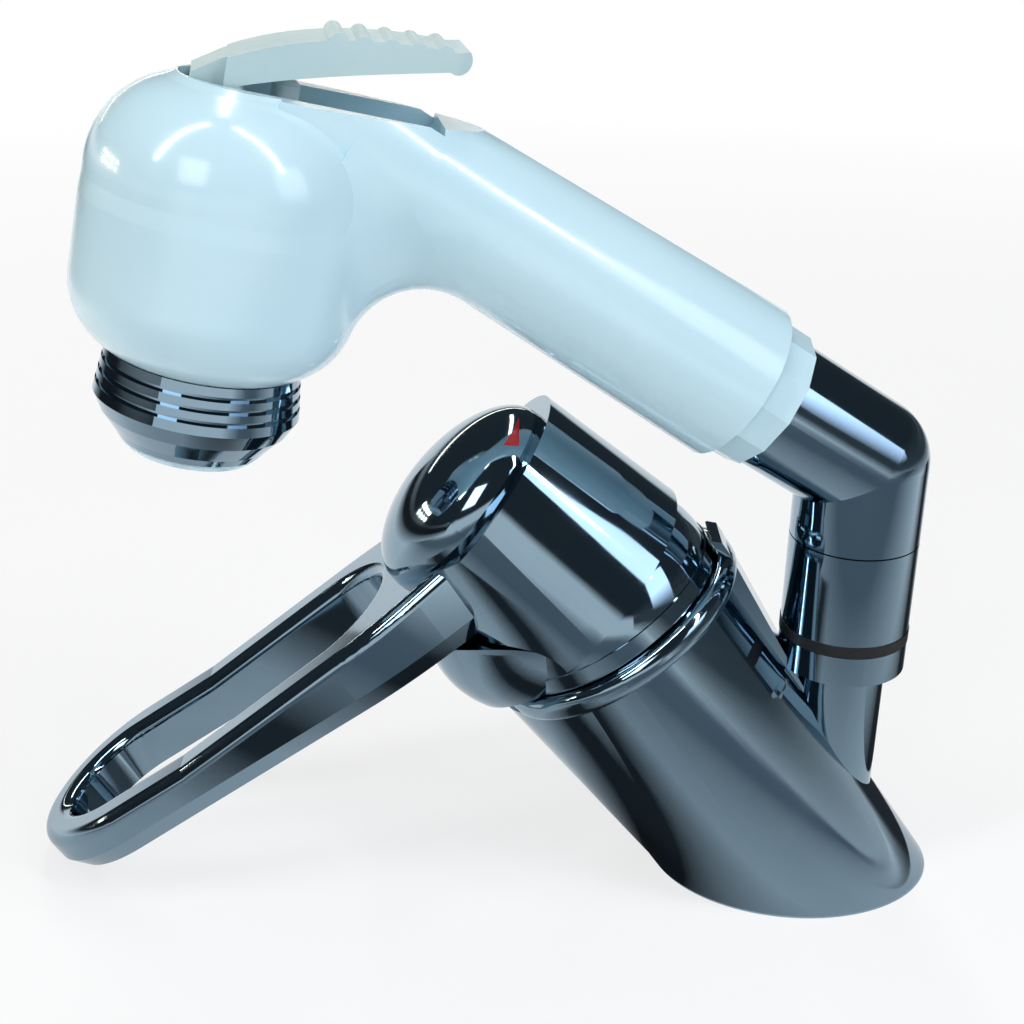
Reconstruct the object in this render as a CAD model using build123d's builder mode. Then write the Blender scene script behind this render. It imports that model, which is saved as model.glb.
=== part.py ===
"""Deck-mounted single-lever mixer with a docked pull-out trigger handset.

Frame: the origin is the centre of the base on the deck, +Z is up and the lever points to -Y.
All sizes are millimetres and degrees.
"""

import os
from math import cos, radians, sin, tan

from build123d import *

os.makedirs("parts", exist_ok=True)

# Barrel and flange of the body casting
barrel_angle = 54.4
barrel_d = 48.0
flange_d = 55.0
flange_top = 70.4
flange_h = 5.2
flange_round = 2.2
chin_d = 44.4
chin_reach = 6.3
chin_tilt = 5.6
rib_w = 10.0
rib_reach = 27.2
rib_lug = 3.6
rib_round = 1.4
rib_foot = 28.0

# Hose tube, socket collar and ports of the body casting
tube_y = 6.7
tube_d = 18.4
hose_bore_d = 12.4
collar_d = 25.7
collar_low = 47.6
collar_top = 53.8
socket_d = 20.0
socket_depth = 8.0
web_w = 6.0
stud_hole_d = 6.8
stud_hole_depth = 12.0
stud_y = -19.5
port_d = 9.0
port_depth = 10.0
port_x = 10.5
port_y = -8.5
channel_d = 5.0

# Cartridge in the barrel, stations along the barrel axis
cavity_d = 40.6
cavity_floor = 41.0
cartridge_d = 40.0
base_top = 46.5
disc_d = 30.0
disc_h = 4.0
slide_disc_d = 22.0
face_gap = 0.1
seal_d = 9.0
seal_h = 2.0
shoulder = 63.0
neck_d = 33.0
neck_top = 69.6
turn_d = 27.6
running_gap = 0.05
nut_gap = 0.2
nut_socket_d = 3.2
part_gap = 0.3

# Lever pivot and spindle
pivot_station = 74.0
pivot_pin_d = 5.0
lever_lean = 10.0
spindle_w = 10.0
spindle_t = 8.0
driver_drop = 14.0
ball_d = 6.0
screw_d = 5.0
screw_head_d = 8.5
screw_head_h = 4.0
screw_l = 12.0
screw_key = 4.0
screw_wall = 7.9

# Turning hood under the lever
hood_d = 49.6
hood_band_top = 74.0
hood_wall = 2.2
belly_reach = 35.2
belly_w = 43.0
belly_station = 80.0
belly_centre = 11.0

# Lever casting
lever_gap = 0.6
hub_low_d = 53.4
hub_top_d = 43.6
hub_back_station = 84.0
corner_t = 8.4
corner_station = 75.2
ridge_half = 22.9
ridge_station = 105.2
ridge_slope = 0.078
ridge_level_t = 84.0
ridge_bend_t = 13.0
ridge_back_t = -15.5
ridge_back_station = 114.6
parting_station = 92.2
under_depth = 3.8
arch_top_t = 34.0
lever_reach = 125.4
rail_w = 9.2
tip_wall = 7.0
slot_start = 35.0
under_taper = 30.0
rail_round = 2.5
shoulder_round = 80.0

# Lever cap and marks
cap_t = 10.0
cap_station = 107.8
cap_tilt = 14.0
cap_w = 37.0
cap_l = 43.5
cap_h = 10.8
mark_t = 0.6
mark_apex = (-8.65, 116.2)
mark_front = (-4.6, 115.6)
mark_low = (-7.0, 113.6)

# Docked sleeve and elbow
sleeve_d = 25.6
sleeve_low = 56.3
sleeve_top = 75.1
spigot_drop = 7.4
ring_d = 25.9
swivel_d = 18.0
swivel_h = 9.0
water_d = 12.0
clip_h = 1.2
swivel_angle = 8.5
handle_angle = 32.4
elbow_z = 91.2
elbow_end = 24.4

# Handset housing and union
nut_d = 27.0
nut_sides = 12
nut_depth = 6.0
washer_d = 19.0
washer_h = 1.5
handle_start = 31.8
handle_start_d = 31.4
handle_end_d = 26.4
handle_taper_end = 104.0
handle_stop = 118.0
head_reach = 125.0
head_z = 116.0
head_tilt = 11.3
head_d = 50.0
head_rim_d = 34.4
head_wide_k = 12.0
head_dome_k = 26.0
crown_round = 17.0
crown_inset = 0.2
flat_k = 48.0
neck_round = 14.0
handle_bridge = 13.0
handle_bore_end = 80.0
trough_w = 18.0
trough_floor_k = 41.5
trough_back = -33.0
trough_front = 11.5
grid_rib_w = 0.9
grid_rib_h = 1.4
grid_pitch = 6.5
grid_l = 24.0

# Trigger and valve
trigger_w = 16.4
trigger_pin_d = 3.0
pivot_rho = 3.2
pivot_k = 45.8
trigger_pin_l = 23.0
ear_r = 3.0
trigger_nose = 9.5
trigger_heel = (3.3, 47.7)
trigger_sole = (-3.4, 50.0)
trigger_waist = (-13.6, 52.9)
trigger_toe = (-31.9, 57.2)
trigger_end = (-35.2, 58.6)
trigger_lip = (-34.6, 61.0)
trigger_notch = (-32.6, 60.5)
trigger_back = (-18.9, 59.6)
trigger_crown = (-6.5, 56.8)
trigger_brow = (5.0, 51.8)
thumb_first = (-13.0, 58.2)
thumb_last = (-30.6, 59.6)
thumb_r = 1.6
ridge_count = 5
ear_w = 12.0
ear_step = 4.0
trigger_tail = 36.5
tail_round = 4.0
plunger_d = 4.8
plunger_rho = -6.4
valve_bore_d = 12.0
valve_floor_k = 12.0
valve_top_k = 36.0
bypass_h = 5.5
feed_k = 27.0
feed_d = 8.0
feed_l = 49.0
outlet_d = 7.0
spring_wire = 0.8
spring_turns = 4
spring_r = 4.8
spring_h = 6.5
plunger_head_h = 3.0
plunger_top_k = 49.8
plunger_chamfer = 0.8
seal_ring_h = 1.2

# Spray end
spray_top_d = 34.6
spray_wide_d = 36.8
spray_wide_k = -8.7
spray_chamfer_k = -14.8
spray_low_d = 28.4
spray_mid_d = 33.8
spray_mid_k = -11.6
spray_lip_k = -16.3
lip_w = 0.5
spray_bore_d = 21.0
groove_w = 0.9
groove_depth = 0.7
groove_count = 3
nozzle_d = 25.0
nozzle_k = -17.8
jet_d = 1.3
jet_ring_r = 4.2
plate_t = 3.0
plate_seat_k = -12.0
boss_top_k = 5.0
spray_boss_d = 28.0
spray_boss_h = 7.0


def point(plane, x, y, z=0.0):
    """A point of the assembly from a plane's own coordinates."""
    return plane.from_local_coords((x, y, z))


def point_of(edge):
    """The middle of an edge in the barrel's own coordinates."""
    return barrel.to_local_coords(edge.center())


# Planes: the barrel leans forward, its local -Y points to the lever tip
lean = radians(barrel_angle)
barrel = Plane((0, 0, 0), x_dir=(1, 0, 0), z_dir=(0, -cos(lean), sin(lean)))
barrel_side = Plane((0, 0, 0), x_dir=(0, -sin(lean), -cos(lean)), z_dir=(-1, 0, 0))
barrel_axis = Axis((0, 0, 0), tuple(barrel.z_dir))

# The handset swings about the hose tube, so its side plane is turned from the middle plane
swing = radians(swivel_angle)
forward = Vector(sin(swing), -cos(swing), 0)
across = Vector(cos(swing), sin(swing), 0)
tube = Plane((0, tube_y, 0), x_dir=tuple(across), z_dir=(0, 0, 1))
handle_dir = forward * cos(radians(handle_angle)) + Vector(0, 0, sin(radians(handle_angle)))
handle = Plane((0, tube_y, elbow_z), x_dir=tuple(across), z_dir=tuple(handle_dir))
handle_axis = Axis((0, tube_y, elbow_z), tuple(handle_dir))
handle_side = Plane((0, tube_y, elbow_z), x_dir=tuple(handle_dir), z_dir=tuple(-across))
head_up = forward * -sin(radians(head_tilt)) + Vector(0, 0, cos(radians(head_tilt)))
head_origin = Vector(0, tube_y, 0) + forward * head_reach + Vector(0, 0, head_z)
head = Plane(head_origin, x_dir=tuple(across), z_dir=tuple(head_up))
head_side = Plane(head_origin, x_dir=tuple(-head.y_dir), z_dir=tuple(-across))
head_axis = Axis(tuple(head_origin), tuple(head_up))
pivot = Vector(*barrel.z_dir) * pivot_station

# The water ways run down the barrel axis from the cartridge into the ports
port_head = barrel.to_local_coords(Vector(port_x, port_y, port_depth))
port_station = port_head.Z - port_d / 4
water_ways = [(-port_x, port_head.Y), (port_x, port_head.Y), (0, port_head.Y)]


def finish(builder, name):
    """Names a finished piece and writes its file."""
    builder.part.label = name
    export_step(builder.part, f"parts/{name}.step")


# Body casting: barrel, flange, chin, rib, hose tube and collar cast as one, then bored
barrel_r = barrel_d / 2
flange_low = flange_top - flange_h
rib_top = flange_top + rib_lug
chin_shift = chin_reach - tan(radians(chin_tilt)) * flange_low
with BuildPart() as body_casting:
    with BuildSketch(barrel.offset(-barrel_d)):
        Circle(barrel_r)
    extrude(amount=barrel_d + flange_top)
    with BuildSketch(barrel.offset(flange_low)) as flange_ring:
        Circle(flange_d / 2)
    extrude(amount=flange_top - flange_low)
    flange_edges = body_casting.edges().filter_by(GeomType.CIRCLE)
    flange_edges = flange_edges.filter_by(lambda e: abs(e.radius - flange_d / 2) < 0.01)
    fillet(flange_edges, flange_round)
    with BuildSketch(barrel.offset(flange_low + flange_round)):
        with Locations((0, -chin_reach)):
            Circle(chin_d / 2)
    with BuildSketch(barrel):
        with Locations((0, -chin_shift)):
            Circle(chin_d / 2)
    loft()
    with BuildSketch(barrel_side):
        with BuildLine():
            Polyline(
                (-barrel_r + 4, rib_foot),
                (-barrel_r + 0.6, rib_foot),
                (-rib_reach, flange_top),
                (-rib_reach, rib_top - rib_round),
                (-rib_reach + rib_round, rib_top),
                (-hood_d / 2 - lever_gap, rib_top),
                (-hood_d / 2 - lever_gap, flange_low),
                (-barrel_r + 4, flange_low),
                close=True,
            )
        make_face()
    extrude(amount=rib_w / 2, both=True)
    with BuildSketch(tube):
        Circle(tube_d / 2)
    extrude(amount=collar_low)
    with BuildSketch(tube.offset(collar_low)):
        Circle(collar_d / 2)
    extrude(amount=collar_top - collar_low)
    with BuildSketch(Plane.YZ):
        with BuildLine():
            Polyline(
                (tube_y, collar_low),
                (tube_y - collar_d / 2, collar_low),
                (tube_y - tube_d / 2, collar_low - tube_d),
                (tube_y, collar_low - tube_d),
                close=True,
            )
        make_face()
    extrude(amount=web_w / 2, both=True)
    split(bisect_by=Plane.XY, keep=Keep.TOP)
    with BuildSketch(barrel.offset(cavity_floor)):
        Circle(cavity_d / 2)
    extrude(amount=rib_top, mode=Mode.SUBTRACT)
    with BuildSketch(tube):
        Circle(hose_bore_d / 2)
    extrude(amount=collar_top, mode=Mode.SUBTRACT)
    with BuildSketch(tube.offset(collar_top)):
        Circle(socket_d / 2)
    extrude(amount=-socket_depth, mode=Mode.SUBTRACT)
    with BuildSketch():
        with Locations((-port_x, port_y), (port_x, port_y), (0, port_y)):
            Circle(port_d / 2)
    extrude(amount=port_depth, mode=Mode.SUBTRACT)
    with BuildSketch():
        with Locations((0, stud_y)):
            Circle(stud_hole_d / 2)
    extrude(amount=stud_hole_depth, mode=Mode.SUBTRACT)
    with BuildSketch(barrel.offset(cavity_floor)):
        with Locations(*water_ways):
            Circle(channel_d / 2)
    extrude(amount=port_station - cavity_floor, mode=Mode.SUBTRACT)
finish(body_casting, "body_casting")

# Cartridge base with its three water ways, rubber seals in counterbores below
with BuildPart() as cartridge_base:
    with BuildSketch(barrel.offset(cavity_floor)):
        Circle(cartridge_d / 2)
        with Locations(*water_ways):
            Circle(channel_d / 2, mode=Mode.SUBTRACT)
    extrude(amount=base_top - cavity_floor)
    with BuildSketch(barrel.offset(cavity_floor)):
        with Locations(*water_ways):
            Circle(seal_d / 2)
    extrude(amount=seal_h, mode=Mode.SUBTRACT)
finish(cartridge_base, "cartridge_base")

for name, spot in zip(("hot_seal", "cold_seal", "mixed_seal"), water_ways):
    with BuildPart() as port_seal:
        with BuildSketch(barrel.offset(cavity_floor)):
            with Locations(spot):
                Circle(seal_d / 2)
                Circle(channel_d / 2, mode=Mode.SUBTRACT)
        extrude(amount=seal_h)
    finish(port_seal, name)

# Ceramic discs: the lower one is fixed, the upper one slides on it
disc_top = base_top + disc_h
slide_low = disc_top + face_gap
slide_top = slide_low + disc_h
slide_rest = driver_drop * sin(radians(lever_lean))
with BuildPart() as fixed_disc:
    with BuildSketch(barrel.offset(base_top)):
        Circle(disc_d / 2)
        with Locations(*water_ways):
            Circle(channel_d / 2, mode=Mode.SUBTRACT)
    extrude(amount=disc_h)
finish(fixed_disc, "fixed_disc")

with BuildPart() as moving_disc:
    with BuildSketch(barrel.offset(slide_low)):
        with Locations((0, slide_rest)):
            Circle(slide_disc_d / 2)
    extrude(amount=disc_h)
    with BuildSketch(barrel.offset(slide_low)):
        with Locations((0, slide_rest)):
            SlotOverall(slide_disc_d * 0.7, channel_d)
    extrude(amount=disc_h / 2, mode=Mode.SUBTRACT)
finish(moving_disc, "moving_disc")

# Driver carries the moving disc and takes the ball end of the spindle in its socket
ball_station = pivot_station - driver_drop * cos(radians(lever_lean))
driver_plate_top = slide_top + 2.0
driver_top = ball_station + ball_d / 4
driver_w = 12.0
ball_w = 7.0
with BuildPart() as disc_driver:
    with BuildSketch(barrel.offset(slide_top)):
        with Locations((0, slide_rest)):
            Circle(slide_disc_d / 2)
    extrude(amount=driver_plate_top - slide_top)
    with BuildSketch(barrel.offset(driver_plate_top)):
        with Locations((0, slide_rest)):
            Rectangle(driver_w, slide_disc_d * 0.75)
    extrude(amount=driver_top - driver_plate_top)
    with BuildSketch(barrel.offset(driver_top)):
        with Locations((0, slide_rest)):
            Rectangle(ball_w + 2 * face_gap, ball_d + 2 * face_gap)
    extrude(amount=ball_station - ball_d / 2 - part_gap - 0.2 - driver_top, mode=Mode.SUBTRACT)
finish(disc_driver, "disc_driver")

# Cartridge housing: shell round the discs with a neck in which the carrier turns
turn_bore = turn_d + 2 * running_gap
with BuildPart() as cartridge_housing:
    with BuildSketch(barrel.offset(base_top)):
        Circle(cartridge_d / 2)
    extrude(amount=shoulder - base_top)
    with BuildSketch(barrel.offset(shoulder)):
        Circle(neck_d / 2)
    extrude(amount=neck_top - shoulder)
    with BuildSketch(barrel.offset(base_top)):
        Circle(disc_d / 2 + 1.5)
    extrude(amount=shoulder - 1.5 - base_top, mode=Mode.SUBTRACT)
    with BuildSketch(barrel.offset(base_top)):
        Circle(turn_bore / 2)
    extrude(amount=neck_top - base_top, mode=Mode.SUBTRACT)
finish(cartridge_housing, "cartridge_housing")

# Retaining nut screwed into the barrel over the cartridge shoulder, with spanner holes
with BuildPart() as cartridge_nut:
    with BuildSketch(barrel.offset(shoulder)):
        Circle(cavity_d / 2 - nut_gap)
        Circle(neck_d / 2 + nut_gap, mode=Mode.SUBTRACT)
    extrude(amount=neck_top - shoulder)
    with BuildSketch(barrel.offset(neck_top)):
        with PolarLocations((cavity_d + neck_d) / 4, 4):
            Circle(nut_socket_d / 4)
    extrude(amount=-3, mode=Mode.SUBTRACT)
finish(cartridge_nut, "cartridge_nut")

# Spindle carrier: turns in the housing neck, forked for the driver and the spindle
carrier_low = driver_plate_top + part_gap
hood_low = flange_top + part_gap
hood_r = hood_d / 2
post_d = 22.0
post_top = pivot_station + 7.0
with BuildPart() as spindle_carrier:
    with BuildSketch(barrel.offset(carrier_low)):
        Circle(turn_d / 2)
    extrude(amount=hood_low - carrier_low)
    with BuildSketch(barrel.offset(hood_low)):
        Circle(hood_r - hood_wall - running_gap)
    extrude(amount=hood_band_top - hood_low)
    with BuildSketch(barrel.offset(hood_low)):
        Circle(post_d / 2)
    extrude(amount=post_top - hood_low)
    with BuildSketch(barrel.offset(carrier_low)):
        Rectangle(spindle_w + 2 * running_gap, spindle_t + 10)
    extrude(amount=post_top, mode=Mode.SUBTRACT)
    with BuildSketch(barrel.offset(carrier_low)):
        Rectangle(driver_w + 2 * running_gap, turn_d)
    extrude(amount=driver_top + part_gap - carrier_low, mode=Mode.SUBTRACT)
    with BuildSketch(Plane(pivot, x_dir=tuple(barrel.y_dir), z_dir=(1, 0, 0))):
        Circle(pivot_pin_d / 2)
    extrude(amount=post_d, both=True, mode=Mode.SUBTRACT)
finish(spindle_carrier, "spindle_carrier")

with BuildPart() as pivot_pin:
    with BuildSketch(Plane(pivot, x_dir=tuple(barrel.y_dir), z_dir=(1, 0, 0))):
        Circle(pivot_pin_d / 2)
    extrude(amount=post_d / 2 - 1.5, both=True)
    chamfer(pivot_pin.edges().filter_by(GeomType.CIRCLE), 0.4)
finish(pivot_pin, "pivot_pin")

# Lever frame: leans forward of the barrel axis while the lever is shut
tip_lean = radians(barrel_angle - lever_lean)
lever = Plane(pivot, x_dir=(1, 0, 0), z_dir=(0, -cos(tip_lean), sin(tip_lean)))
dome_r = hood_r - 0.3
shell_r = dome_r + lever_gap
spindle_top = shell_r + 5.5
screw_seat = shell_r + screw_wall
with BuildPart() as lever_spindle:
    with BuildSketch(lever.offset(-driver_drop + ball_d)):
        Rectangle(spindle_w, spindle_t)
    extrude(amount=spindle_top + driver_drop - ball_d)
    with BuildSketch(lever.offset(-driver_drop)):
        Rectangle(ball_w, ball_d * 0.7)
    extrude(amount=ball_d)
    with BuildSketch(Plane(point(lever, 0, 0, -driver_drop), x_dir=tuple(lever.y_dir), z_dir=(1, 0, 0))):
        Circle(ball_d / 2)
    extrude(amount=ball_w / 2, both=True)
    with BuildSketch(Plane(pivot, x_dir=tuple(lever.y_dir), z_dir=(1, 0, 0))):
        Circle(pivot_pin_d / 2 + running_gap)
    extrude(amount=spindle_w, both=True, mode=Mode.SUBTRACT)
    with BuildSketch(lever.offset(spindle_top)):
        Circle(screw_d / 2)
    extrude(amount=-12, mode=Mode.SUBTRACT)
finish(lever_spindle, "lever_spindle")

# Arch line: the lever's front lower edge, which the hood's belly follows
def arch(gap):
    """The arch from the skirt corner up to the parting line, drawn back by a gap."""
    return EllipticalCenterArc(
        (arch_top_t, corner_station - gap),
        arch_top_t - corner_t - gap,
        parting_station - under_depth - corner_station,
        start_angle=90,
        arc_size=90,
    )


# Belly of the hood: an egg lying along the lever, trimmed under the arch
with BuildPart() as hood_belly:
    with BuildSketch(barrel_side):
        with Locations((belly_centre, belly_station)):
            Ellipse(belly_reach - belly_centre, belly_w / 2)
            Rectangle(belly_reach * 2, belly_w, align=(Align.CENTER, Align.MIN), mode=Mode.INTERSECT)
    revolve(axis=Axis(tuple(point(barrel_side, 0, belly_station)), tuple(barrel_side.x_dir)))
    with BuildSketch(barrel_side):
        with BuildLine():
            front = arch(lever_gap)
            Polyline(
                front @ 1,
                (corner_t + lever_gap, hood_low),
                (belly_reach * 2, hood_low),
                (belly_reach * 2, parting_station - under_depth - lever_gap),
                front @ 0,
            )
        make_face()
    extrude(amount=belly_w, both=True, mode=Mode.INTERSECT)

# Turning hood: band on the flange, dome in the lever and a belly under the lever's neck
with BuildPart() as turning_hood:
    with BuildSketch(barrel_side):
        with BuildLine():
            Polyline((0, pivot_station + dome_r), (0, hood_low), (hood_r, hood_low), (hood_r, hood_band_top))
            Line((hood_r, hood_band_top), (dome_r, hood_band_top))
            CenterArc((0, pivot_station), dome_r, 0, 90)
        make_face()
    revolve(axis=barrel_axis)
    add(hood_belly.part)
    with BuildSketch(barrel_side):
        with BuildLine():
            bore_r = hood_r - hood_wall
            vault_r = dome_r - hood_wall
            Polyline((0, pivot_station + vault_r), (0, hood_low), (bore_r, hood_low), (bore_r, hood_band_top))
            Line((bore_r, hood_band_top), (vault_r, hood_band_top))
            CenterArc((0, pivot_station), vault_r, 0, 90)
        make_face()
    revolve(axis=barrel_axis, mode=Mode.SUBTRACT)
    with BuildSketch(barrel.offset(pivot_station + dome_r / 2)):
        Rectangle(spindle_w + 2 * part_gap, spindle_t + 2 * dome_r * sin(radians(lever_lean)) + 2 * part_gap)
    extrude(amount=dome_r, mode=Mode.SUBTRACT)
finish(turning_hood, "turning_hood")

# Lever casting: a bell over the dome that runs out into a loop of two rails
ridge_bend_station = ridge_station - ridge_slope * ridge_bend_t
ridge_rise = (ridge_back_station - ridge_bend_station) / (ridge_bend_t - ridge_back_t)
skirt_slope = (hub_back_station - corner_station) / (corner_t + hood_r)
hub_r = hub_low_d / 2
far_t = -2 * hub_r
tip_r = ridge_half
slot_half = ridge_half - rail_w
roof_t = lever_reach + tip_r
with BuildPart() as lever_casting:
    with BuildSketch(lever.offset(-hub_r / 2)) as hub_foot:
        Circle(hub_r + (hub_low_d - hub_top_d) / 8)
    with BuildSketch(lever.offset(hub_r * 2)) as hub_head:
        Circle(hub_top_d / 2 - (hub_low_d - hub_top_d) / 4)
    loft()
    with BuildSketch(barrel.offset(parting_station)) as loop_outline:
        with BuildLine():
            Polyline(
                (-ridge_half, tip_r - lever_reach),
                (-ridge_half, -slot_start),
                (-ridge_half / 2, ridge_half / 3),
                (ridge_half / 2, ridge_half / 3),
                (ridge_half, -slot_start),
                (ridge_half, tip_r - lever_reach),
            )
            CenterArc((0, tip_r - lever_reach), tip_r, 180, 180)
        make_face()
        fillet(vertices().filter_by_position(Axis.Y, -slot_start - 1, 1 - slot_start), shoulder_round)
    extrude(amount=hub_r * 2)
    with BuildSketch(barrel_side):
        with BuildLine():
            edge = arch(0)
            Polyline(
                edge @ 1,
                (far_t, corner_station + skirt_slope * (corner_t - far_t)),
                (far_t, ridge_back_station + hub_r),
                (ridge_back_t, ridge_back_station),
                (ridge_bend_t, ridge_bend_station),
                (ridge_level_t, ridge_station - ridge_slope * ridge_level_t),
                (roof_t, ridge_station - ridge_slope * ridge_level_t),
                (roof_t, parting_station - under_depth),
                edge @ 0,
            )
        make_face()
    extrude(amount=hub_low_d, both=True, mode=Mode.INTERSECT)
    extrude(loop_outline.sketch, amount=-under_depth, taper=under_taper)
    with BuildSketch(barrel.offset(parting_station - under_depth)):
        with Locations((0, -(slot_start + lever_reach - tip_wall) / 2)):
            SlotOverall(lever_reach - tip_wall - slot_start, 2 * slot_half, rotation=90)
    extrude(amount=hub_r * 2, mode=Mode.SUBTRACT)
    rim_edges = lever_casting.edges().filter_by(
        lambda e: e.length > slot_half
        and point_of(e).Z > parting_station + under_depth
        and point_of(e).Y < -slot_start / 2
    )
    fillet(rim_edges, rail_round)
    with BuildSketch(Plane(pivot, x_dir=(1, 0, 0), z_dir=tuple(lever.z_dir))):
        with BuildLine():
            CenterArc((0, 0), shell_r, -90, 180)
            Line((0, -shell_r), (0, shell_r))
        make_face()
    revolve(axis=Axis(tuple(pivot), tuple(lever.y_dir)), mode=Mode.SUBTRACT)
    with BuildSketch(lever):
        Rectangle(spindle_w + 2 * face_gap, spindle_t + 2 * face_gap)
    extrude(amount=spindle_top + face_gap, mode=Mode.SUBTRACT)
    with BuildSketch(lever):
        Circle(screw_d / 2 + face_gap)
    extrude(amount=hub_r * 2, mode=Mode.SUBTRACT)
    with BuildSketch(lever.offset(screw_seat)):
        Circle(screw_head_d / 2 + part_gap)
    extrude(amount=hub_r, mode=Mode.SUBTRACT)
finish(lever_casting, "lever_casting")

# Lever screw: socket-headed, holds the casting on the spindle
with BuildPart() as lever_screw:
    with BuildSketch(lever.offset(screw_seat)):
        Circle(screw_head_d / 2)
    extrude(amount=screw_head_h)
    with BuildSketch(lever.offset(screw_seat)):
        Circle(screw_d / 2 - running_gap)
    extrude(amount=-screw_l)
    with BuildSketch(lever.offset(screw_seat + screw_head_h)):
        RegularPolygon(screw_key / 2, 6, major_radius=False)
    extrude(amount=-screw_key / 2, mode=Mode.SUBTRACT)
finish(lever_screw, "lever_screw")

# Lever cap: a pebble-shaped lid over the fixing screw, with an inlaid mark on each side
cap_rise = radians(cap_tilt)
cap_plane = Plane(
    point(barrel_side, cap_t, cap_station),
    x_dir=(1, 0, 0),
    z_dir=tuple(barrel.z_dir * cos(cap_rise) - barrel.y_dir * sin(cap_rise)),
)
with BuildPart() as pebble:
    Sphere(1)
    scale(by=(cap_w / 2, cap_l / 2, cap_h), mode=Mode.REPLACE)
with BuildPart() as pebble_core:
    Sphere(1)
    scale(by=(cap_w / 2 - mark_t, cap_l / 2 - mark_t, cap_h - mark_t), mode=Mode.REPLACE)
with BuildPart() as hot_mark:
    with BuildSketch(barrel_side):
        with BuildLine():
            Polyline(mark_apex, mark_front, mark_low, close=True)
        make_face()
    extrude(amount=-cap_w)
    with Locations(cap_plane):
        add(pebble.part, mode=Mode.INTERSECT)
        add(pebble_core.part, mode=Mode.SUBTRACT)
finish(hot_mark, "hot_mark")

with BuildPart() as cold_mark:
    mirror(hot_mark.part, about=Plane.YZ)
finish(cold_mark, "cold_mark")

with BuildPart() as lever_cap:
    with Locations(cap_plane):
        add(pebble.part)
    with BuildSketch(barrel_side):
        with BuildLine():
            Polyline(
                (far_t, ridge_back_station + ridge_rise * (ridge_back_t - far_t)),
                (ridge_bend_t, ridge_bend_station),
                (roof_t, ridge_station - ridge_slope * roof_t),
                (roof_t, 2 * ridge_station),
                (far_t, 2 * ridge_station),
                close=True,
            )
        make_face()
    extrude(amount=cap_w, both=True, mode=Mode.INTERSECT)
    add(hot_mark.part, mode=Mode.SUBTRACT)
    add(cold_mark.part, mode=Mode.SUBTRACT)
    with BuildSketch(lever):
        Circle(screw_head_d / 2 + lever_gap)
    extrude(amount=screw_seat + screw_head_h + lever_gap, mode=Mode.SUBTRACT)
finish(lever_cap, "lever_cap")

# Docked sleeve: slides out of the collar with the hose, the handset swivels on its spigot
spigot_low = collar_top - spigot_drop
swivel_top = sleeve_top + swivel_h
clip_low = swivel_top - 2 * clip_h
oring_low = sleeve_top + swivel_h / 4
with BuildPart() as dock_sleeve:
    with BuildSketch(tube.offset(spigot_low)):
        Circle(socket_d / 2 - running_gap)
    extrude(amount=sleeve_low - spigot_low)
    with BuildSketch(tube.offset(sleeve_low)):
        Circle(sleeve_d / 2)
    extrude(amount=sleeve_top - sleeve_low)
    with BuildSketch(tube.offset(sleeve_top)):
        Circle(swivel_d / 2)
    extrude(amount=swivel_h)
    with BuildSketch(tube.offset(clip_low), tube.offset(oring_low)):
        Circle(swivel_d / 2)
        Circle(swivel_d / 2 - clip_h, mode=Mode.SUBTRACT)
    extrude(amount=clip_h, mode=Mode.SUBTRACT)
    with BuildSketch(tube.offset(spigot_low)):
        Circle(water_d / 2)
    extrude(amount=swivel_top - spigot_low, mode=Mode.SUBTRACT)
finish(dock_sleeve, "dock_sleeve")

with BuildPart() as dock_ring:
    with BuildSketch(tube.offset(collar_top + face_gap)):
        Circle(ring_d / 2)
        Circle(socket_d / 2, mode=Mode.SUBTRACT)
    extrude(amount=sleeve_low - collar_top - face_gap)
finish(dock_ring, "dock_ring")

with BuildPart() as swivel_ring:
    with BuildSketch(tube.offset(oring_low)):
        Circle(swivel_d / 2)
        Circle(swivel_d / 2 - clip_h, mode=Mode.SUBTRACT)
    extrude(amount=clip_h)
finish(swivel_ring, "swivel_ring")

# Spring clip: an open ring in the spigot's groove that keeps the elbow on
with BuildPart() as swivel_clip:
    with BuildSketch(tube.offset(clip_low)):
        Circle(swivel_d / 2 + clip_h)
        Circle(swivel_d / 2 - clip_h + running_gap, mode=Mode.SUBTRACT)
        with Locations((0, swivel_d / 2)):
            Rectangle(swivel_d / 3, swivel_d / 2, mode=Mode.SUBTRACT)
    extrude(amount=clip_h)
finish(swivel_clip, "swivel_clip")

# Elbow: turns the water from the sleeve into the handle, mitred on the inside of the bend
elbow_r = sleeve_d / 2
elbow_low = sleeve_top + part_gap
with BuildPart() as elbow:
    with BuildSketch(tube.offset(elbow_low)):
        Circle(elbow_r)
    extrude(amount=elbow_z - elbow_low)
    with Locations(tube.offset(elbow_z)):
        Sphere(elbow_r)
    with BuildSketch(handle):
        Circle(elbow_r)
    extrude(amount=elbow_end)
    with BuildSketch(tube.offset(elbow_low)):
        Circle(swivel_d / 2 + running_gap)
    extrude(amount=swivel_top + part_gap - elbow_low, mode=Mode.SUBTRACT)
    with BuildSketch(tube.offset(clip_low - part_gap)):
        Circle(swivel_d / 2 + clip_h + part_gap)
    extrude(amount=clip_h + 2 * part_gap, mode=Mode.SUBTRACT)
    with BuildSketch(tube.offset(swivel_top)):
        Circle(water_d / 2)
    extrude(amount=elbow_z - swivel_top, mode=Mode.SUBTRACT)
    with Locations(tube.offset(elbow_z)):
        Sphere(water_d / 2, mode=Mode.SUBTRACT)
    with BuildSketch(handle):
        Circle(water_d / 2)
    extrude(amount=elbow_end, mode=Mode.SUBTRACT)
finish(elbow, "elbow")

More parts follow.
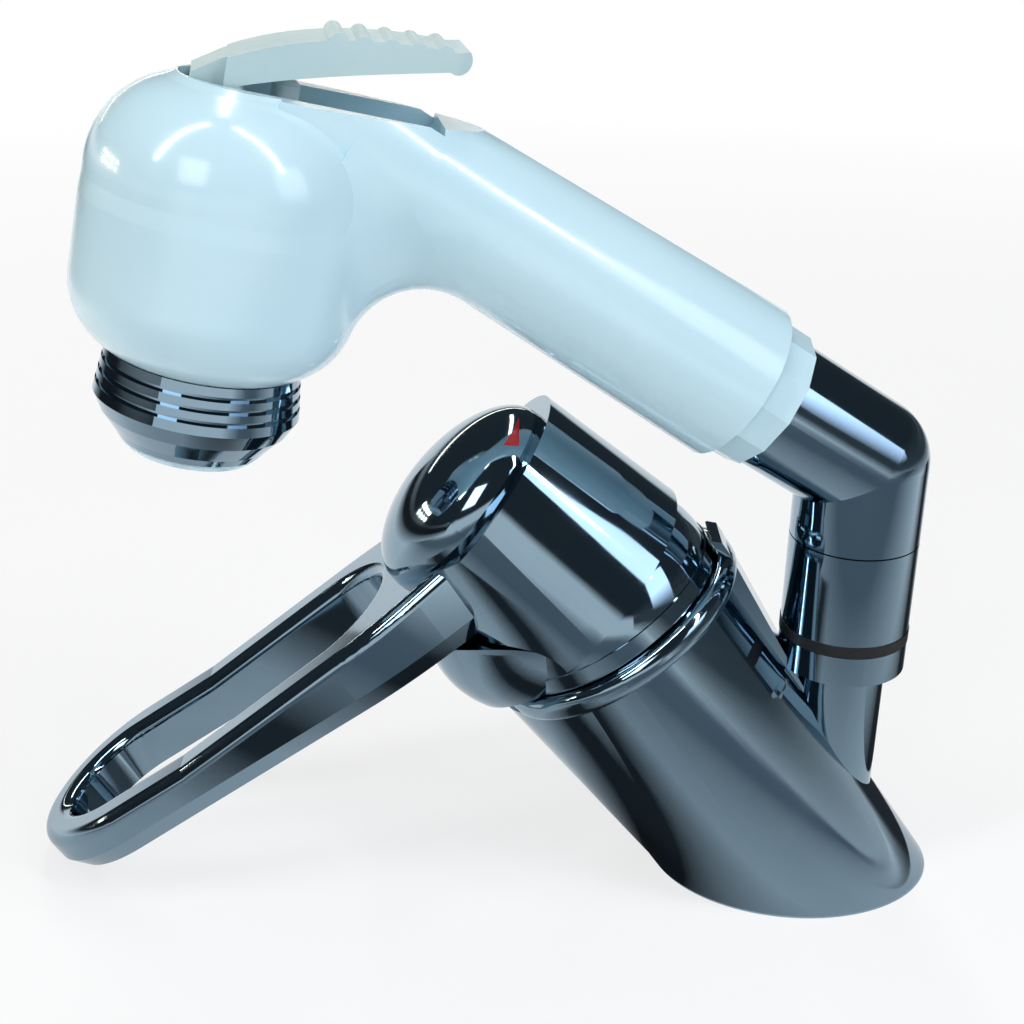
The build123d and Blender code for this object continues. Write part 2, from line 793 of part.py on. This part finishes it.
# Union nut with flats, its stem pressed into the handle, and the flat washer it squeezes
with BuildPart() as union_nut:
    with BuildSketch(handle.offset(elbow_end)):
        RegularPolygon(nut_d / 2, nut_sides, major_radius=False)
    extrude(amount=handle_start - elbow_end)
    with BuildSketch(handle.offset(handle_start)):
        Circle(nut_d / 2 - face_gap)
    extrude(amount=nut_depth)
    with BuildSketch(handle.offset(elbow_end)):
        Circle(water_d / 2)
    extrude(amount=handle_start + nut_depth, mode=Mode.SUBTRACT)
    with BuildSketch(handle.offset(elbow_end)):
        Circle(washer_d / 2)
    extrude(amount=washer_h, mode=Mode.SUBTRACT)
finish(union_nut, "union_nut")

with BuildPart() as union_washer:
    with BuildSketch(handle.offset(elbow_end)):
        Circle(washer_d / 2)
        Circle(water_d / 2, mode=Mode.SUBTRACT)
    extrude(amount=washer_h)
finish(union_washer, "union_washer")

# Handset housing: a turned head and a tapered handle in one moulding, trough cut in its flat
head_r = head_d / 2
guide_r = plunger_d / 2 + running_gap
pin_plane = Plane(point(head_side, pivot_rho, pivot_k), x_dir=tuple(head.y_dir), z_dir=tuple(across))
with BuildPart() as handset_housing:
    with BuildSketch(head_side):
        with BuildLine():
            Polyline((0, head_dome_k + head_r), (0, 0), (head_rim_d / 2, 0))
            TangentArc((head_r, head_wide_k), (head_rim_d / 2, 0), tangent=(0, -1))
            Line((head_r, head_wide_k), (head_r, head_dome_k))
            CenterArc((0, head_dome_k), head_r, 0, 90)
        make_face()
    revolve(axis=head_axis)
    with BuildSketch(handle_side):
        with BuildLine():
            Polyline(
                (handle_start, 0),
                (handle_start, handle_start_d / 2),
                (handle_taper_end, handle_end_d / 2),
                (handle_stop, handle_end_d / 2),
                (handle_stop, 0),
                close=True,
            )
        make_face()
    revolve(axis=handle_axis)
    with BuildSketch(head.offset(flat_k)):
        Rectangle(4 * head_d, 4 * head_d)
    extrude(amount=head_d, mode=Mode.SUBTRACT)
    fillet(handset_housing.edges().filter_by(GeomType.BSPLINE), neck_round)
    with BuildSketch(head_side):
        with BuildLine():
            crown_side = head_r - crown_inset
            crown_r = crown_side - crown_round
            Polyline(
                (crown_r, flat_k),
                (0, flat_k),
                (0, head_wide_k),
                (crown_side, head_wide_k),
                (crown_side, flat_k - crown_round),
            )
            CenterArc((crown_r, flat_k - crown_round), crown_round, 0, 90)
        make_face()
    revolve(axis=head_axis)
    with BuildSketch(handle.offset(handle_stop)):
        Circle(handle_end_d / 2)
    extrude(amount=handle_bridge)
    with BuildSketch(head.offset(flat_k)):
        Rectangle(4 * head_d, 4 * head_d)
    extrude(amount=head_d, mode=Mode.SUBTRACT)
    with BuildSketch(head.offset(flat_k)):
        with Locations((0, -trough_front)):
            Rectangle(trough_w, trough_front - trough_back, align=(Align.CENTER, Align.MIN))
        fillet(vertices().group_by(Axis.Y)[0], trough_w / 2 - 0.5)
    extrude(amount=trough_floor_k - flat_k, mode=Mode.SUBTRACT)
    with BuildSketch(head.offset(trough_floor_k)):
        with Locations((0, -trough_back)):
            with GridLocations(grid_pitch, 0, 2, 1):
                Rectangle(grid_rib_w, grid_l, align=(Align.CENTER, Align.MAX))
            with Locations(*[(0, -grid_pitch * row) for row in range(1, 4)]):
                Rectangle(trough_w, grid_rib_w)
    extrude(amount=grid_rib_h)
    with BuildSketch(handle.offset(handle_start)):
        Circle(nut_d / 2)
    extrude(amount=nut_depth + face_gap, mode=Mode.SUBTRACT)
    with BuildSketch(handle.offset(handle_start)):
        Circle(water_d / 2)
    extrude(amount=handle_bore_end - handle_start, mode=Mode.SUBTRACT)
    feed_start = point(head_side, plunger_rho, feed_k)
    with BuildSketch(Plane(feed_start, x_dir=tuple(across), z_dir=tuple(head.y_dir))):
        Circle(feed_d / 2)
    extrude(amount=feed_l, mode=Mode.SUBTRACT)
    with BuildSketch(head.offset(valve_floor_k)):
        with Locations((0, -plunger_rho)):
            Circle(valve_bore_d / 2 + 1.5)
    extrude(amount=bypass_h, mode=Mode.SUBTRACT)
    with BuildSketch(head.offset(valve_floor_k)):
        with Locations((0, -plunger_rho)):
            Circle(valve_bore_d / 2)
    extrude(amount=valve_top_k - valve_floor_k, mode=Mode.SUBTRACT)
    with BuildSketch(head.offset(valve_floor_k)):
        with Locations((0, -plunger_rho)):
            Circle(guide_r)
    extrude(amount=flat_k - valve_floor_k, mode=Mode.SUBTRACT)
    with BuildSketch(head):
        with Locations((0, -plunger_rho)):
            Circle(outlet_d / 2)
    extrude(amount=valve_floor_k, mode=Mode.SUBTRACT)
    with BuildSketch(head):
        Circle(spray_boss_d / 2)
    extrude(amount=spray_boss_h, mode=Mode.SUBTRACT)
    with BuildSketch(pin_plane):
        Circle(trigger_pin_d / 2)
    extrude(amount=trigger_pin_l / 2, both=True, mode=Mode.SUBTRACT)
finish(handset_housing, "handset_housing")

# Trigger pin, pressed through the trough walls
with BuildPart() as trigger_pin:
    with BuildSketch(pin_plane):
        Circle(trigger_pin_d / 2)
    extrude(amount=trigger_pin_l / 2, both=True)
finish(trigger_pin, "trigger_pin")

# Trigger: a curved paddle with five thumb ridges and a lip, hinged at its front ear
with BuildPart() as trigger:
    with BuildSketch(head_side):
        with BuildLine():
            Spline(trigger_heel, trigger_sole, trigger_waist, trigger_toe)
            ThreePointArc(trigger_toe, trigger_end, trigger_lip)
            Line(trigger_lip, trigger_notch)
            Spline(trigger_notch, trigger_back, trigger_crown, trigger_brow)
            Polyline(
                trigger_brow,
                (trigger_nose, pivot_k + ear_r),
                (trigger_nose, pivot_k),
                (pivot_rho + ear_r, pivot_k - ear_r),
                (pivot_rho, pivot_k - ear_r),
                trigger_heel,
            )
        make_face()
        with Locations((pivot_rho, pivot_k)):
            Circle(ear_r)
        for row in range(ridge_count):
            along = row / (ridge_count - 1)
            ridge_rho = thumb_first[0] + (thumb_last[0] - thumb_first[0]) * along
            ridge_k = thumb_first[1] + (thumb_last[1] - thumb_first[1]) * along
            with Locations((ridge_rho, ridge_k)):
                Circle(thumb_r)
    extrude(amount=trigger_w / 2, both=True)
    with BuildSketch(head.offset(trough_floor_k)):
        with Locations((0, -ear_step)):
            Rectangle(trigger_w, ear_step + trigger_tail, align=(Align.CENTER, Align.MIN))
            Rectangle(ear_w, trough_front + ear_step, align=(Align.CENTER, Align.MAX))
        fillet(vertices().group_by(Axis.Y)[-1], tail_round)
    extrude(amount=head_d, mode=Mode.INTERSECT)
    with BuildSketch(pin_plane):
        Circle(trigger_pin_d / 2 + running_gap)
    extrude(amount=trigger_w, both=True, mode=Mode.SUBTRACT)
finish(trigger, "trigger")

# Valve plunger under the trigger with its seal ring, and the spring that lifts both
head_low_k = valve_floor_k + spring_h
ring_k = head_low_k + plunger_head_h / 2 - seal_ring_h / 2
piston_r = valve_bore_d / 2 - running_gap
with BuildPart() as plunger:
    with BuildSketch(head.offset(head_low_k)):
        with Locations((0, -plunger_rho)):
            Circle(piston_r)
    extrude(amount=plunger_head_h)
    with BuildSketch(head.offset(head_low_k)):
        with Locations((0, -plunger_rho)):
            Circle(plunger_d / 2)
    extrude(amount=plunger_top_k - head_low_k)
    chamfer(plunger.faces().sort_by(head_axis)[-1].edges(), plunger_chamfer)
    with BuildSketch(head.offset(ring_k)):
        with Locations((0, -plunger_rho)):
            Circle(piston_r)
            Circle(piston_r - seal_ring_h, mode=Mode.SUBTRACT)
    extrude(amount=seal_ring_h, mode=Mode.SUBTRACT)
finish(plunger, "plunger")

with BuildPart() as plunger_seal:
    with BuildSketch(head.offset(ring_k)):
        with Locations((0, -plunger_rho)):
            Circle(piston_r)
            Circle(piston_r - seal_ring_h, mode=Mode.SUBTRACT)
    extrude(amount=seal_ring_h)
finish(plunger_seal, "plunger_seal")

spring_base = Plane(
    point(head_side, plunger_rho, valve_floor_k + spring_wire / 2 + running_gap),
    x_dir=tuple(across),
    z_dir=tuple(head_up),
)
spring_rise = spring_h - spring_wire - 2 * running_gap
with BuildPart() as valve_spring:
    with BuildLine(spring_base):
        Helix(spring_rise / spring_turns, spring_rise, spring_r)
    wire_start = point(spring_base, spring_r, 0)
    with BuildSketch(Plane(wire_start, x_dir=tuple(across), z_dir=tuple(spring_base.y_dir))):
        Circle(spring_wire / 2)
    sweep(is_frenet=True)
finish(valve_spring, "valve_spring")

# Spray collar: ringed grip screwed into the head, with the jet plate in its mouth
collar_seam = -part_gap / 2
lip_r = nozzle_d / 2 + face_gap
with BuildPart() as spray_collar:
    with BuildSketch(head_side):
        with BuildLine():
            Polyline(
                (spray_boss_d / 2 - face_gap, boss_top_k),
                (spray_boss_d / 2 - face_gap, collar_seam),
                (spray_top_d / 2, collar_seam),
                (spray_wide_d / 2, spray_wide_k),
                (spray_mid_d / 2, spray_mid_k),
                (spray_low_d / 2, spray_chamfer_k),
                (lip_r + lip_w, spray_lip_k),
                (lip_r, spray_lip_k),
                (lip_r, plate_seat_k),
                (spray_bore_d / 2, plate_seat_k),
                (spray_bore_d / 2, boss_top_k),
                close=True,
            )
        make_face()
    revolve(axis=head_axis)
    with BuildSketch(head_side):
        for row in range(1, groove_count + 1):
            along = row / (groove_count + 1)
            groove_r = (spray_top_d + (spray_wide_d - spray_top_d) * along) / 2
            with Locations((groove_r, spray_wide_k * along)):
                Rectangle(2 * groove_depth, groove_w)
    revolve(axis=head_axis, mode=Mode.SUBTRACT)
finish(spray_collar, "spray_collar")

with BuildPart() as jet_plate:
    with BuildSketch(head.offset(nozzle_k)):
        Circle(nozzle_d / 2)
    extrude(amount=plate_seat_k - nozzle_k)
    chamfer(jet_plate.faces().sort_by(head_axis)[0].edges(), groove_w)
    with BuildSketch(head.offset(plate_seat_k)):
        Circle(spray_bore_d / 2 - 1)
    extrude(amount=nozzle_k + plate_t - plate_seat_k, mode=Mode.SUBTRACT)
    with BuildSketch(head.offset(nozzle_k)):
        Circle(jet_d / 2)
        with PolarLocations(jet_ring_r, 6):
            Circle(jet_d / 2)
        with PolarLocations(2 * jet_ring_r, 12):
            Circle(jet_d / 2)
    extrude(amount=plate_t, mode=Mode.SUBTRACT)
finish(jet_plate, "jet_plate")

with BuildPart() as spray_seal:
    with BuildSketch(head.offset(boss_top_k)):
        Circle(spray_boss_d / 2 - face_gap)
        Circle(spray_bore_d / 2, mode=Mode.SUBTRACT)
    extrude(amount=spray_boss_h - boss_top_k)
finish(spray_seal, "spray_seal")
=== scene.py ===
import bpy
from math import cos, radians, sin
from mathutils import Matrix, Vector


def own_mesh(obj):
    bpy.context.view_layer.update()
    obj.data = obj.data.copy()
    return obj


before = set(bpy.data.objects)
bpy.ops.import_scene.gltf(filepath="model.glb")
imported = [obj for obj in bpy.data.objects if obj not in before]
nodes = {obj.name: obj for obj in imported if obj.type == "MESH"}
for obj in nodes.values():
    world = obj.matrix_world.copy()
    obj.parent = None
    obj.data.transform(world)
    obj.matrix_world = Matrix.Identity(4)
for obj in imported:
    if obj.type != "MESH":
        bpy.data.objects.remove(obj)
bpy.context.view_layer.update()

# Body casting: a leaning barrel with flange, chin, back rib, hose tube and collar.
# Low-pressure brass casting, ground, polished and plated with bright chromium.
# It stands on the deck, held by a stud from below.
mm_in_m = 1000.0
noise_low = 0.3
noise_high = 0.7


def linear(code):
    """An sRGB hex colour as linear red, green, blue and alpha."""
    parts = [int(code[i:i + 2], 16) / 255 for i in (1, 3, 5)]
    return [c / 12.92 if c <= 0.04045 else ((c + 0.055) / 1.055) ** 2.4 for c in parts] + [1.0]


def add(tree, kind, inputs, **settings):
    """Adds a node with its settings. Each input is a socket to link from, or a constant."""
    made = tree.nodes.new(kind)
    for setting, value in settings.items():
        setattr(made, setting, value)
    for socket, value in inputs.items():
        if isinstance(value, bpy.types.NodeSocket):
            tree.links.new(value, made.inputs[socket])
        else:
            made.inputs[socket].default_value = value
    return made


def finish(name, constants):
    """A new material with object coordinates, and with those inputs of its shader set."""
    made = bpy.data.materials.new(name)
    made.use_nodes = True
    add(made.node_tree, "ShaderNodeTexCoord", {}, name="Coordinates")
    for socket, value in constants.items():
        made.node_tree.nodes["Principled BSDF"].inputs[socket].default_value = value
    return made


def inside(material):
    """A material's node tree, its shader and the place on the piece."""
    tree = material.node_tree
    return tree, tree.nodes["Principled BSDF"], tree.nodes["Coordinates"].outputs["Object"]


def tones(material, first, second, patch_mm, detail=2.0):
    """Lets the colour drift between two hex colours, in patches of about that size."""
    tree, shader, where = inside(material)
    size = {"Vector": where, "Scale": mm_in_m / patch_mm, "Detail": detail}
    patch = add(tree, "ShaderNodeTexNoise", size).outputs["Fac"]
    ends = {"Factor": patch, "A": linear(first), "B": linear(second)}
    colour = add(tree, "ShaderNodeMix", ends, data_type="RGBA").outputs["Result"]
    tree.links.new(colour, shader.inputs["Base Color"])


def gloss(material, smooth, rough, patch_mm, detail=2.0):
    """Lets the roughness drift between two values, in patches of about that size."""
    tree, shader, where = inside(material)
    size = {"Vector": where, "Scale": mm_in_m / patch_mm, "Detail": detail}
    patch = add(tree, "ShaderNodeTexNoise", size).outputs["Fac"]
    span = {"From Min": noise_low, "From Max": noise_high, "To Min": smooth, "To Max": rough}
    value = add(tree, "ShaderNodeMapRange", {"Value": patch, **span}).outputs["Result"]
    tree.links.new(value, shader.inputs["Roughness"])


def ripple(material, height_mm, strength, patch_mm, detail=2.0):
    """Leaves the surface a little uneven, in swells of about that size."""
    tree, shader, where = inside(material)
    size = {"Vector": where, "Scale": mm_in_m / patch_mm, "Detail": detail}
    swell = add(tree, "ShaderNodeTexNoise", size).outputs["Fac"]
    rise = {"Height": swell, "Distance": height_mm / mm_in_m, "Strength": strength}
    normal = add(tree, "ShaderNodeBump", rise).outputs["Normal"]
    tree.links.new(normal, shader.inputs["Normal"])


def wear(name, material):
    """Gives a CAD piece its finish."""
    mesh = nodes[name].data
    mesh.materials.clear()
    mesh.materials.append(material)


# Bright chromium is a cold, hard mirror, clouded and bent very slightly by the polishing mop.
chrome = finish("polished_chromium_plate", {"Metallic": 1.0})
tones(chrome, "#849dae", "#92aab8", patch_mm=22.0, detail=3.0)
gloss(chrome, 0.035, 0.085, patch_mm=9.0, detail=4.0)
ripple(chrome, height_mm=0.02, strength=0.35, patch_mm=16.0, detail=1.0)
wear("body_casting", chrome)

# Cartridge: moulded shell and base, lapped ceramic discs and rubber port seals.
# Light grey plastic, white alumina and black nitrile, with a turned brass nut.
# It drops into the barrel, and the nut holds it down.

# Moulded acetal is an even, half-matt grey with faint flow marks.
grey = finish("moulded_grey_acetal", {})
tones(grey, "#8f9294", "#a3a6a8", patch_mm=3.0)
gloss(grey, 0.4, 0.55, patch_mm=1.5)
for name in ("cartridge_base", "cartridge_housing"):
    wear(name, grey)

# Lapped alumina is a warm white with the dull shine of a ground face.
alumina = finish("lapped_alumina", {})
tones(alumina, "#e6e3da", "#f2efe6", patch_mm=1.0)
gloss(alumina, 0.2, 0.3, patch_mm=2.0)
for name in ("fixed_disc", "moving_disc"):
    wear(name, alumina)

# Nitrile rubber is near black, with a soft sheen and a fine moulded grain.
rubber = finish("black_nitrile_rubber", {})
tones(rubber, "#0d0e10", "#1c1d20", patch_mm=1.2)
gloss(rubber, 0.42, 0.6, patch_mm=0.8)
ripple(rubber, height_mm=0.03, strength=0.4, patch_mm=0.3)
for name in ("hot_seal", "cold_seal", "mixed_seal"):
    wear(name, rubber)

# Turned brass is yellow and bright, with its shine broken up by fine tool marks.
brass = finish("turned_brass", {"Metallic": 1.0})
tones(brass, "#b08d4a", "#c7a35c", patch_mm=6.0)
gloss(brass, 0.2, 0.34, patch_mm=0.6)
wear("cartridge_nut", brass)

# Turning hood with the spindle carrier under it: the carrier turns in the cartridge neck.
# Hood cast and chromed like the body; carrier and disc driver moulded; pivot pin of drawn steel.
# The hood is pushed over the carrier and turns with the lever.
wear("spindle_carrier", grey)
wear("disc_driver", grey)
wear("turning_hood", chrome)

# Drawn stainless steel is a light, neutral grey, brighter and duller by turns along the wire.
steel = finish("drawn_stainless_steel", {"Metallic": 1.0})
tones(steel, "#a7a9aa", "#bcbebf", patch_mm=2.0)
gloss(steel, 0.18, 0.32, patch_mm=0.5)
wear("pivot_pin", steel)

# Lever: a bell over the hood that runs out into a loop, with a cap over its screw.
# Die-cast zinc, polished and chromed; the screw is steel and the spindle brass.
# The casting sits on the square spindle and the screw pulls it down.
wear("lever_casting", chrome)
wear("lever_spindle", brass)
wear("lever_screw", steel)
wear("lever_cap", chrome)

# Hot and cold marks: small triangles let into the cap, red on one side and blue on the other.
# Enamel run into a pocket and cured: a full, wet-looking colour with a sharp shine.
for name, deep, bright in (
    ("hot_mark", "#a90d18", "#c8121f"),
    ("cold_mark", "#12309a", "#1a3fb8"),
):
    enamel = finish(name + "_gloss_enamel", {"Coat Weight": 0.5})
    tones(enamel, deep, bright, patch_mm=1.0)
    gloss(enamel, 0.12, 0.22, patch_mm=0.8)
    wear(name, enamel)

# Docked sleeve with its rubber ring, swivel ring and clip.
# Turned brass, chromed; the black ring cushions the sleeve on the collar.
# It lifts out of the collar with the handset.
wear("dock_sleeve", chrome)
wear("dock_ring", rubber)
wear("swivel_ring", rubber)
wear("swivel_clip", steel)

# Elbow: bent from the sleeve to the handle, sharp on the inside of the bend.
# Cast brass, polished and chromed; it swivels on the sleeve's spigot.
wear("elbow", chrome)

# Handset housing, union nut and washer: the nut has twelve flats.
# Housing and nut are moulded in ABS; the washer is rubber.
# The nut's stem is pressed into the handle and squeezes the washer on the elbow.
wear("union_washer", rubber)

# Gloss ABS is a clean, faintly blue white, with a clear skin that shows lamps as soft streaks.
abs_white = finish("gloss_white_abs", {"Coat Weight": 0.3, "Coat Roughness": 0.06})
tones(abs_white, "#c4e5f0", "#d2eef6", patch_mm=30.0, detail=1.0)
gloss(abs_white, 0.14, 0.24, patch_mm=12.0, detail=3.0)
ripple(abs_white, height_mm=0.012, strength=0.3, patch_mm=2.5)
wear("handset_housing", abs_white)
wear("union_nut", abs_white)

# Trigger on its pin: a paddle with thumb ridges.
# It is moulded in one, and tips on a steel pin through the trough walls.
wear("trigger_pin", steel)

# Satin ABS is greyer than the housing and nearly without highlights, from a blasted mould.
satin = finish("satin_grey_white_abs", {})
tones(satin, "#b4cfd2", "#c3dadc", patch_mm=14.0)
gloss(satin, 0.3, 0.42, patch_mm=3.0)
ripple(satin, height_mm=0.015, strength=0.4, patch_mm=0.5)
wear("trigger", satin)

# Valve: a plunger with its seal ring, and the spring that lifts it.
# The plunger is moulded in acetal and guided in the housing; the spring is stainless wire.
# The spring is squeezed against its seat when the trigger pushes the plunger.
wear("plunger_seal", rubber)
wear("valve_spring", steel)
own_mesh(nodes["valve_spring"])

# White acetal is a milky, waxy white.
acetal = finish("white_acetal", {})
tones(acetal, "#cfdfe2", "#dde9ea", patch_mm=4.0)
gloss(acetal, 0.3, 0.42, patch_mm=1.5)
wear("plunger", acetal)

# Spray end: ringed collar, jet plate and the seal above them.
# The collar is turned and chromed and screws into the head; the plate is moulded in ABS.
wear("spray_collar", chrome)
wear("jet_plate", abs_white)
wear("spray_seal", rubber)

# Floor: plain white paper that glows to the eye and in reflections, and keeps a soft shadow.
# The glow is a little weaker near the tap, so that the shadow shows there.
# It isn't part of the tap.
floor_r = 6.0
floor_sides = 96
near_r = 0.2
far_r = 0.9
near_glow = 0.72
far_glow = 1.0
bpy.ops.object.select_all(action="DESELECT")
bpy.ops.mesh.primitive_circle_add(vertices=floor_sides, radius=floor_r, fill_type="NGON")
floor = bpy.context.object
floor.name = "floor"
paper = finish("white_paper", {"Roughness": 0.9})
tones(paper, "#f4f5f5", "#fafafa", patch_mm=60.0)
tree, shader, where = inside(paper)
path = add(tree, "ShaderNodeLightPath", {}).outputs
seen = path["Is Camera Ray"]
for ray in ("Is Glossy Ray", "Is Transmission Ray"):
    seen = add(tree, "ShaderNodeMath", {0: seen, 1: path[ray]}, operation="MAXIMUM").outputs["Value"]
reach = add(tree, "ShaderNodeVectorMath", {0: where}, operation="LENGTH").outputs["Value"]
fade = {"From Min": near_r, "From Max": far_r, "To Min": near_glow, "To Max": far_glow}
share = add(tree, "ShaderNodeMapRange", {"Value": reach, **fade}).outputs["Result"]
share = add(tree, "ShaderNodeMath", {0: seen, 1: share}, operation="MULTIPLY").outputs["Value"]
glow = add(tree, "ShaderNodeEmission", {"Color": linear("#ffffff")}).outputs["Emission"]
mixed = add(tree, "ShaderNodeMixShader", {0: share, 1: shader.outputs["BSDF"], 2: glow})
tree.links.new(mixed.outputs["Shader"], tree.nodes["Material Output"].inputs["Surface"])
floor.data.materials.append(paper)

# Painted reflections: cards that stand and lie round the tap, seen only in the chrome, paint dark
# bands and painted shade into its mirror image.
# Grey and black sheets with feathered edges, hidden from the camera, from other surfaces' light and
# from shadows, so they darken only the reflections.
# They aren't part of the tap.
feather_start = 0.1
feather_end = 0.5
for name, place, turn, size, dark, pale in (
    ("grey_painted_reflection_right", (0.1, 0.32, 0.11), (90, 0, 0), (1.3, 0.27), "#3f454a", "#5a6167"),
    ("black_painted_reflection_left", (-0.1, -0.5, 0.1), (90, 0, 0), (1.3, 0.2), "#15181b", "#24282c"),
    ("black_painted_reflection_front", (0.040, -0.064, 0.0005), (0, 0, -49), (0.16, 0.066), "#1b1f23", "#2b3035"),
    ("grey_painted_reflection_floor", (0.20, 0.0, 0.0003), (0, 0, 90), (1.3, 0.5), "#6b747b", "#7a8289"),
    ("dark_painted_reflection_floor", (-0.12, 0.18, 0.0004), (0, 0, 125), (0.34, 0.17), "#1b1f23", "#2b3035"),
):
    bpy.ops.object.select_all(action="DESELECT")
    turn = [radians(angle) for angle in turn]
    bpy.ops.mesh.primitive_plane_add(size=1.0, location=place, rotation=turn)
    card = bpy.context.object
    card.name = name
    card.scale = (*size, 1.0)
    card.visible_camera = False
    card.visible_diffuse = False
    card.visible_shadow = False
    # Each card's grey or black is a painted reflection: it shows only where the chrome mirrors it.
    reflection_paint = finish(name + "_board", {"Roughness": 0.95})
    tones(reflection_paint, dark, pale, patch_mm=400.0)
    tree, shader, where = inside(reflection_paint)
    across = add(tree, "ShaderNodeSeparateXYZ", {"Vector": where}).outputs["Y"]
    across = add(tree, "ShaderNodeMath", {0: across}, operation="ABSOLUTE").outputs["Value"]
    feather = {"Value": across, "From Min": feather_end, "From Max": feather_start}
    share = add(tree, "ShaderNodeMapRange", feather).outputs["Result"]
    clear = add(tree, "ShaderNodeBsdfTransparent", {}).outputs["BSDF"]
    mixed = add(tree, "ShaderNodeMixShader", {0: share, 1: clear, 2: shader.outputs["BSDF"]})
    tree.links.new(mixed.outputs["Shader"], tree.nodes["Material Output"].inputs["Surface"])
    card.data.materials.append(reflection_paint)

# Room: bright along the horizon, as pale walls are, and dim above it.
# The chrome mirrors both, so its upper faces go dark between the lamps.
wall_top = 0.07
dim_from = 0.15
world = bpy.data.worlds.new("dim_room")
bpy.context.scene.world = world
world.use_nodes = True
tree = world.node_tree
direction = add(tree, "ShaderNodeTexCoord", {}).outputs["Generated"]
height = add(tree, "ShaderNodeSeparateXYZ", {"Vector": direction}).outputs["Z"]
ramp = add(tree, "ShaderNodeValToRGB", {"Fac": height})
walls, ceiling = ramp.color_ramp.elements
walls.position = wall_top
walls.color = linear("#ffffff")
ceiling.position = dim_from
ceiling.color = linear("#343a3f")
tree.links.new(ramp.outputs["Color"], tree.nodes["Background"].inputs["Color"])

# Lamps: ceiling tubes, a window and a cool fill, all hidden from the camera.
# The far panels and the far tube are warm and show as lines along the lever and the cap.
lamp_aim = Vector((0.0, -0.07, 0.08))
warm_white = "#fff0d8"


def lamp(name, place, width, depth, watts, colour="#ffffff"):
    """A soft rectangular lamp that faces the tap."""
    data = bpy.data.lights.new(name, "AREA")
    data.shape = "RECTANGLE"
    data.size = width
    data.size_y = depth
    data.energy = watts
    data.color = linear(colour)[:3]
    made = bpy.data.objects.new(name, data)
    made.location = place
    made.rotation_euler = (lamp_aim - Vector(place)).to_track_quat("-Z", "Y").to_euler()
    made.visible_camera = False
    bpy.context.scene.collection.objects.link(made)


tube_width = 0.06
tube_length = 0.9
lamp("ceiling_tube_left", (0.3, -0.5, 0.9), tube_width, tube_length, 3.2)
lamp("ceiling_tube_right", (0.3, 0.35, 0.9), tube_width, tube_length, 3.4)
lamp("ceiling_tube_back", (-0.5, -0.1, 0.9), tube_width, tube_length, 2.2)
lamp("window", (1.1, -0.5, 0.8), 0.5, 0.6, 4.0, "#f4f7ff")
lamp("far_ceiling_tube", (-1.4, -0.5, 0.42), 1.4, 0.035, 1.0, warm_white)
lamp("side_fill", (0.6, 0.9, 0.5), 0.5, 0.7, 3.4, "#e4ecff")
panel_x, panel_y, panel_z = -0.35, -1.2, 0.3
panel_step_x = 0.12
panel_step_z = 0.1
for row in range(2):
    for column in range(4):
        place = (panel_x + panel_step_x * column, panel_y, panel_z + panel_step_z * row)
        lamp(f"far_ceiling_panel_{row}_{column}", place, 0.07, 0.05, 0.25, warm_white)

# Camera: it stands where the photograph was taken, on the +X side and a little above the tap.
# Azimuth, height angle, roll and lens come from fitting the part's outline to the photograph.
azimuth, elevation, roll = radians(89.05), radians(23.44), radians(1.47)
eye = (0.2954, -0.0663, 0.2066)
look = -Vector((sin(azimuth) * cos(elevation), -cos(azimuth) * cos(elevation), sin(elevation)))
right = look.cross(Vector((0, 0, 1))).normalized()
top = right.cross(look)
right, top = right * cos(roll) + top * sin(roll), top * cos(roll) - right * sin(roll)
lens = bpy.data.cameras.new("camera")
lens.sensor_width = 36.0
lens.lens = 57.37
lens.clip_start = 0.01
camera = bpy.data.objects.new("camera", lens)
camera.matrix_world = Matrix.Translation(eye) @ Matrix((right, top, -look)).transposed().to_4x4()
bpy.context.scene.collection.objects.link(camera)
bpy.context.scene.camera = camera
bpy.context.scene.view_settings.view_transform = "Standard"
